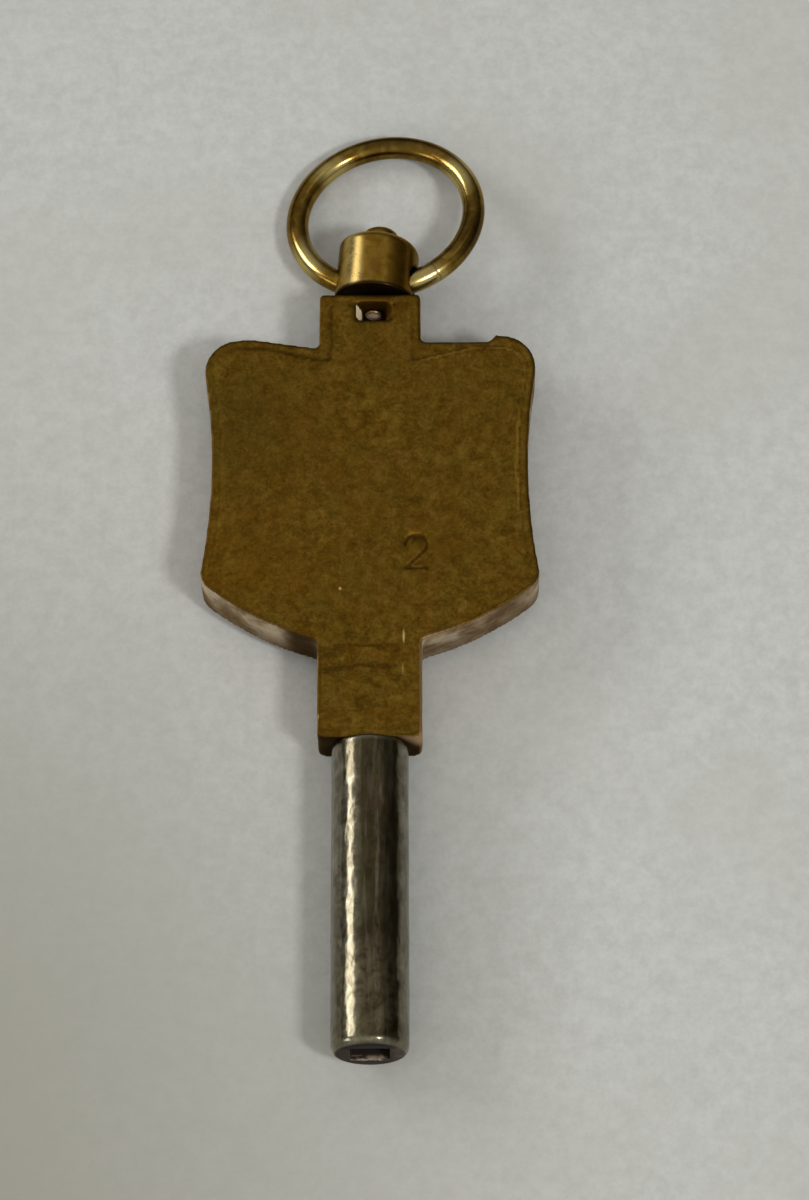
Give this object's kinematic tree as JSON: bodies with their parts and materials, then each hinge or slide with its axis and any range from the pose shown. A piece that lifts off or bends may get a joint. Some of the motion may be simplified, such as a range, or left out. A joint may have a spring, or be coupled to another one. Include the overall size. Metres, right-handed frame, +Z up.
{
  "type": "watch key",
  "caption": "Pocket-watch winding key: a flat shield-shaped brass plate, a steel pipe with a square socket, and a brass ring on a riveted swivel head.",
  "frame": {"origin": "centre of the square socket's mouth, at the end of the pipe", "axes": "+Y along the pipe from the socket to the ring, +X to the right and +Z up out of the plate's front face, with the key lying on its back"},
  "size_m": [0.016, 0.0483, 0.0042],
  "materials": {
    "plate_brass": "worn and darkened",
    "pipe_steel": "filed and polished, slightly tarnished",
    "head_brass": "turned, worn",
    "ring_brass": "polished by wear"
  },
  "bodies": {
    "key": {"shield_plate": "plate_brass", "key_pipe": "pipe_steel"},
    "swivel": {"swivel_post": "head_brass"},
    "ring": {"bow_ring": "ring_brass"}
  },
  "joints": [
    {"name": "swivel_turn", "type": "hinge", "parent": "key", "child": "swivel", "pos_m": [0.00021, 0.03815, 0], "axis": [0.0785, 0.9969, 0], "continuous": true},
    {"name": "bow_swing", "type": "hinge", "parent": "swivel", "child": "ring", "pos_m": [0.0003, 0.03931, 0], "axis": [0.9846, -0.0775, 0.1564], "range_deg": [-99, 116]}
  ]
}
